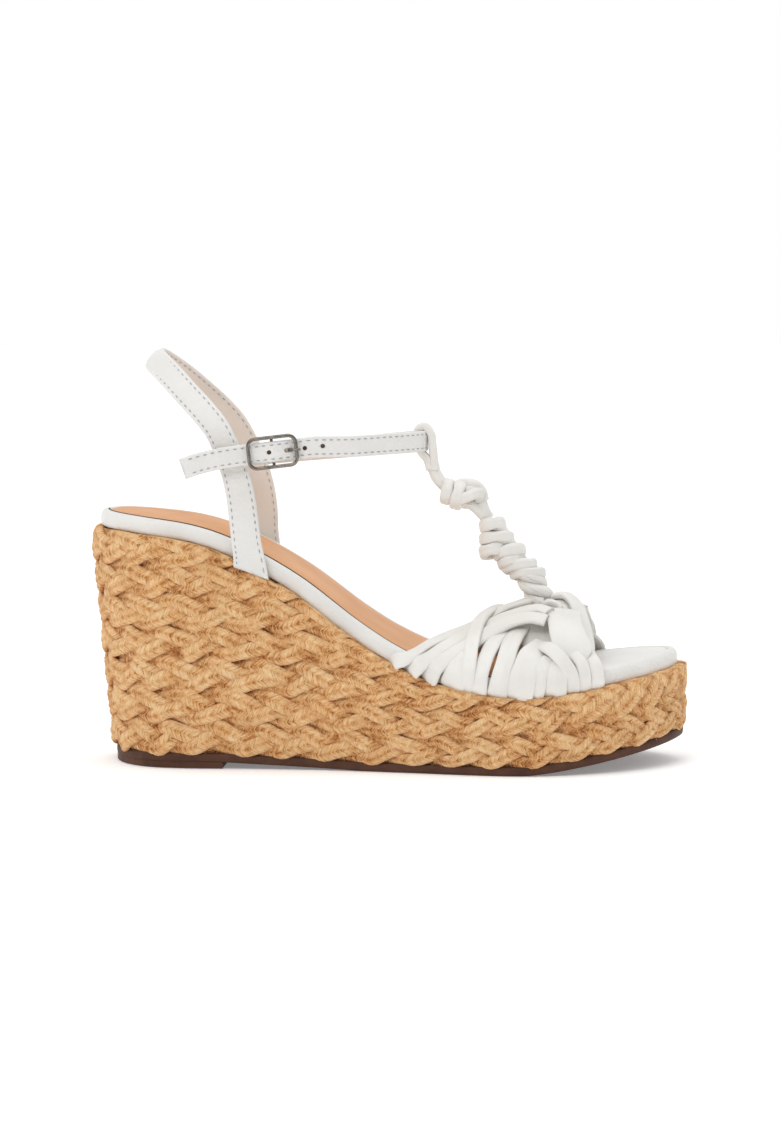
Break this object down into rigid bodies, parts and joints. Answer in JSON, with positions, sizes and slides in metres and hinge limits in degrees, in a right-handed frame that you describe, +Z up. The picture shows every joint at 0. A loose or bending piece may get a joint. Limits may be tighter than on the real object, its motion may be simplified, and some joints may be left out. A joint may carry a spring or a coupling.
{
  "type": "wedge sandal",
  "caption": "Women's jute wedge sandal with a woven white leather vamp, knotted T-bar, heel strap and buckled ankle strap.",
  "frame": {"origin": "centre of the sandal's bounding box at ground level, where the heel lift and the ball of the sole stand", "axes": "+X to the toe, +Y to the inner (medial) side of the foot, +Z up; the buckle is on the -Y side"},
  "size_m": [0.231, 0.0894, 0.1597],
  "materials": {
    "rubber_sole": "smooth satin brown rubber",
    "cork": "bare pressed cork",
    "jute": "coarse twisted jute, fuzzy and matt",
    "board": "pressed fibre board",
    "foam": "soft matt foam",
    "tan_leather": "smooth tan leather, slight sheen",
    "white_leather": "fine grained white leather, satin",
    "soft_white_leather": "soft folded white leather, satin with fine creases",
    "lining_leather": "matt beige lining leather",
    "nickel": "polished nickel plate"
  },
  "bodies": {
    "sandal": {"heel_lift": "rubber_sole", "outsole": "rubber_sole", "wedge_core": "cork", "jute_course_1": "jute", "jute_course_2": "jute", "jute_course_3": "jute", "jute_course_4": "jute", "jute_course_5": "jute", "jute_course_6": "jute", "jute_course_7": "jute", "insole_board": "board", "insole_foam": "foam", "sock_lining": "tan_leather", "toe_cover": "white_leather", "edge_binding": "white_leather", "heel_strap": "white_leather", "heel_strap_lining": "lining_leather", "ankle_strap": "white_leather", "ankle_strap_lining": "lining_leather", "buckle_tab": "white_leather", "tbar_loop": "soft_white_leather", "tbar_cord": "soft_white_leather", "tbar_knot": "soft_white_leather", "tbar_wraps": "soft_white_leather", "vamp_knot": "soft_white_leather", "vamp_lateral_1": "soft_white_leather", "vamp_lateral_2": "soft_white_leather", "vamp_lateral_3": "soft_white_leather", "vamp_lateral_4": "soft_white_leather", "vamp_lateral_5": "soft_white_leather", "vamp_lateral_6": "soft_white_leather", "vamp_lateral_7": "soft_white_leather", "vamp_lateral_8": "soft_white_leather", "vamp_lateral_9": "soft_white_leather", "vamp_lateral_10": "soft_white_leather", "vamp_lateral_11": "soft_white_leather", "vamp_lateral_12": "soft_white_leather", "vamp_lateral_13": "soft_white_leather", "vamp_lateral_14": "soft_white_leather", "vamp_medial_1": "soft_white_leather", "vamp_medial_2": "soft_white_leather", "vamp_medial_3": "soft_white_leather", "vamp_medial_4": "soft_white_leather", "vamp_medial_5": "soft_white_leather", "vamp_medial_6": "soft_white_leather", "vamp_medial_7": "soft_white_leather", "vamp_medial_8": "soft_white_leather", "vamp_medial_9": "soft_white_leather", "vamp_medial_10": "soft_white_leather", "vamp_medial_11": "soft_white_leather", "vamp_medial_12": "soft_white_leather", "vamp_medial_13": "soft_white_leather", "vamp_medial_14": "soft_white_leather"},
    "strap_tail": {"strap_tail": "white_leather", "strap_tail_lining": "lining_leather"},
    "buckle_frame": {"buckle_frame": "nickel"},
    "buckle_prong": {"buckle_prong": "nickel"}
  },
  "joints": [
    {"name": "tail_flex", "type": "hinge", "parent": "sandal", "child": "strap_tail", "pos_m": [-0.05256, -0.03435, 0.12015], "axis": [-0.1128, -0.0099, 0.9936], "range_deg": [0, 45]},
    {"name": "buckle_tilt", "type": "hinge", "parent": "sandal", "child": "buckle_frame", "pos_m": [-0.0418, -0.03136, 0.1214], "axis": [0.1128, 0.0099, -0.9936], "range_deg": [-2.5, 2.5]},
    {"name": "prong_lift", "type": "hinge", "parent": "buckle_frame", "child": "buckle_prong", "pos_m": [-0.0418, -0.03136, 0.1214], "axis": [0.1128, 0.0099, -0.9936], "range_deg": [0, 5]}
  ]
}
